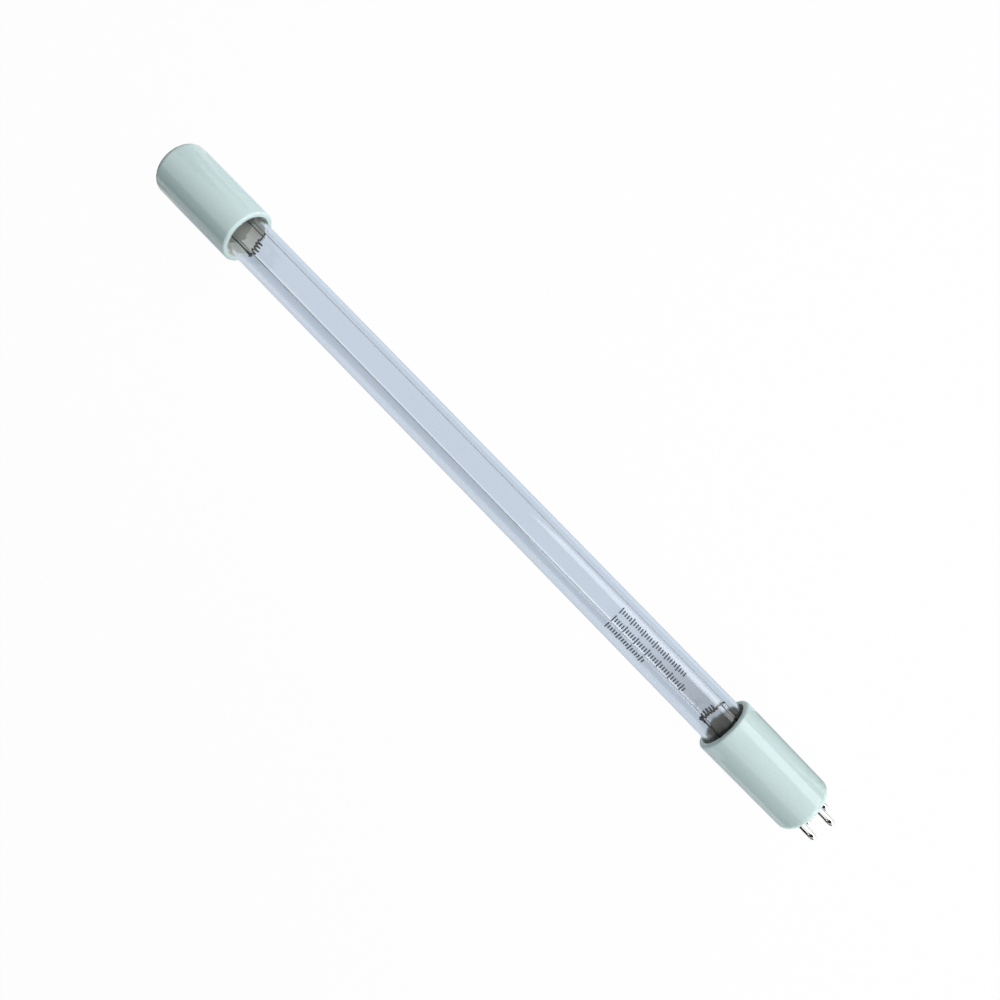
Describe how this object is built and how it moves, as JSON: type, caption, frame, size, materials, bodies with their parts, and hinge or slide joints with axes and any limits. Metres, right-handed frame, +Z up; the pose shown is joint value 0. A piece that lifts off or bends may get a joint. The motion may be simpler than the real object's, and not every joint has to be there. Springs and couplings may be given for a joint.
{
  "type": "ultraviolet germicidal lamp tube",
  "caption": "Clear quartz germicidal discharge lamp: a straight tube with pinch-sealed ends in two glazed ceramic caps, coil electrodes at both ends and all contact pins at one end.",
  "frame": {"origin": "on the surface under the middle of the whole length, midway between the end cap's closed face and the pin tips", "axes": "+X along the tube and out of the pins, +Z up and square to the flat pinch seals, +Y across the lamp"},
  "size_m": [0.2938, 0.02, 0.02],
  "materials": {
    "quartz": "clear fused quartz",
    "glazed_ceramic": "white glazed steatite",
    "plated_pin": "nickel-plated brass",
    "cement": "matt basing cement",
    "tungsten": "emitter-coated tungsten wire",
    "lead_metal": "drawn molybdenum wire",
    "sealing_foil": "molybdenum foil",
    "return_wire": "bare nickel wire",
    "mercury": "liquid metal drop"
  },
  "bodies": {
    "root": {"quartz_tube": "quartz", "base_cap": "glazed_ceramic", "end_cap": "glazed_ceramic", "contact_pin_1": "plated_pin", "contact_pin_2": "plated_pin", "contact_pin_3": "plated_pin", "contact_pin_4": "plated_pin", "base_cement": "cement", "end_cement": "cement", "base_filament": "tungsten", "end_filament": "tungsten", "base_hook_lead": "lead_metal", "end_hook_lead": "lead_metal", "base_sleeve_lead": "lead_metal", "end_sleeve_lead": "lead_metal", "base_lead_sleeve": "lead_metal", "end_lead_sleeve": "lead_metal", "base_foil_1": "sealing_foil", "base_foil_2": "sealing_foil", "end_foil_1": "sealing_foil", "end_foil_2": "sealing_foil", "base_outer_lead_1": "lead_metal", "base_outer_lead_2": "lead_metal", "end_outer_lead_1": "lead_metal", "end_outer_lead_2": "lead_metal", "return_wire_1": "return_wire", "return_wire_2": "return_wire", "mercury_drop": "mercury"}
  },
  "joints": []
}
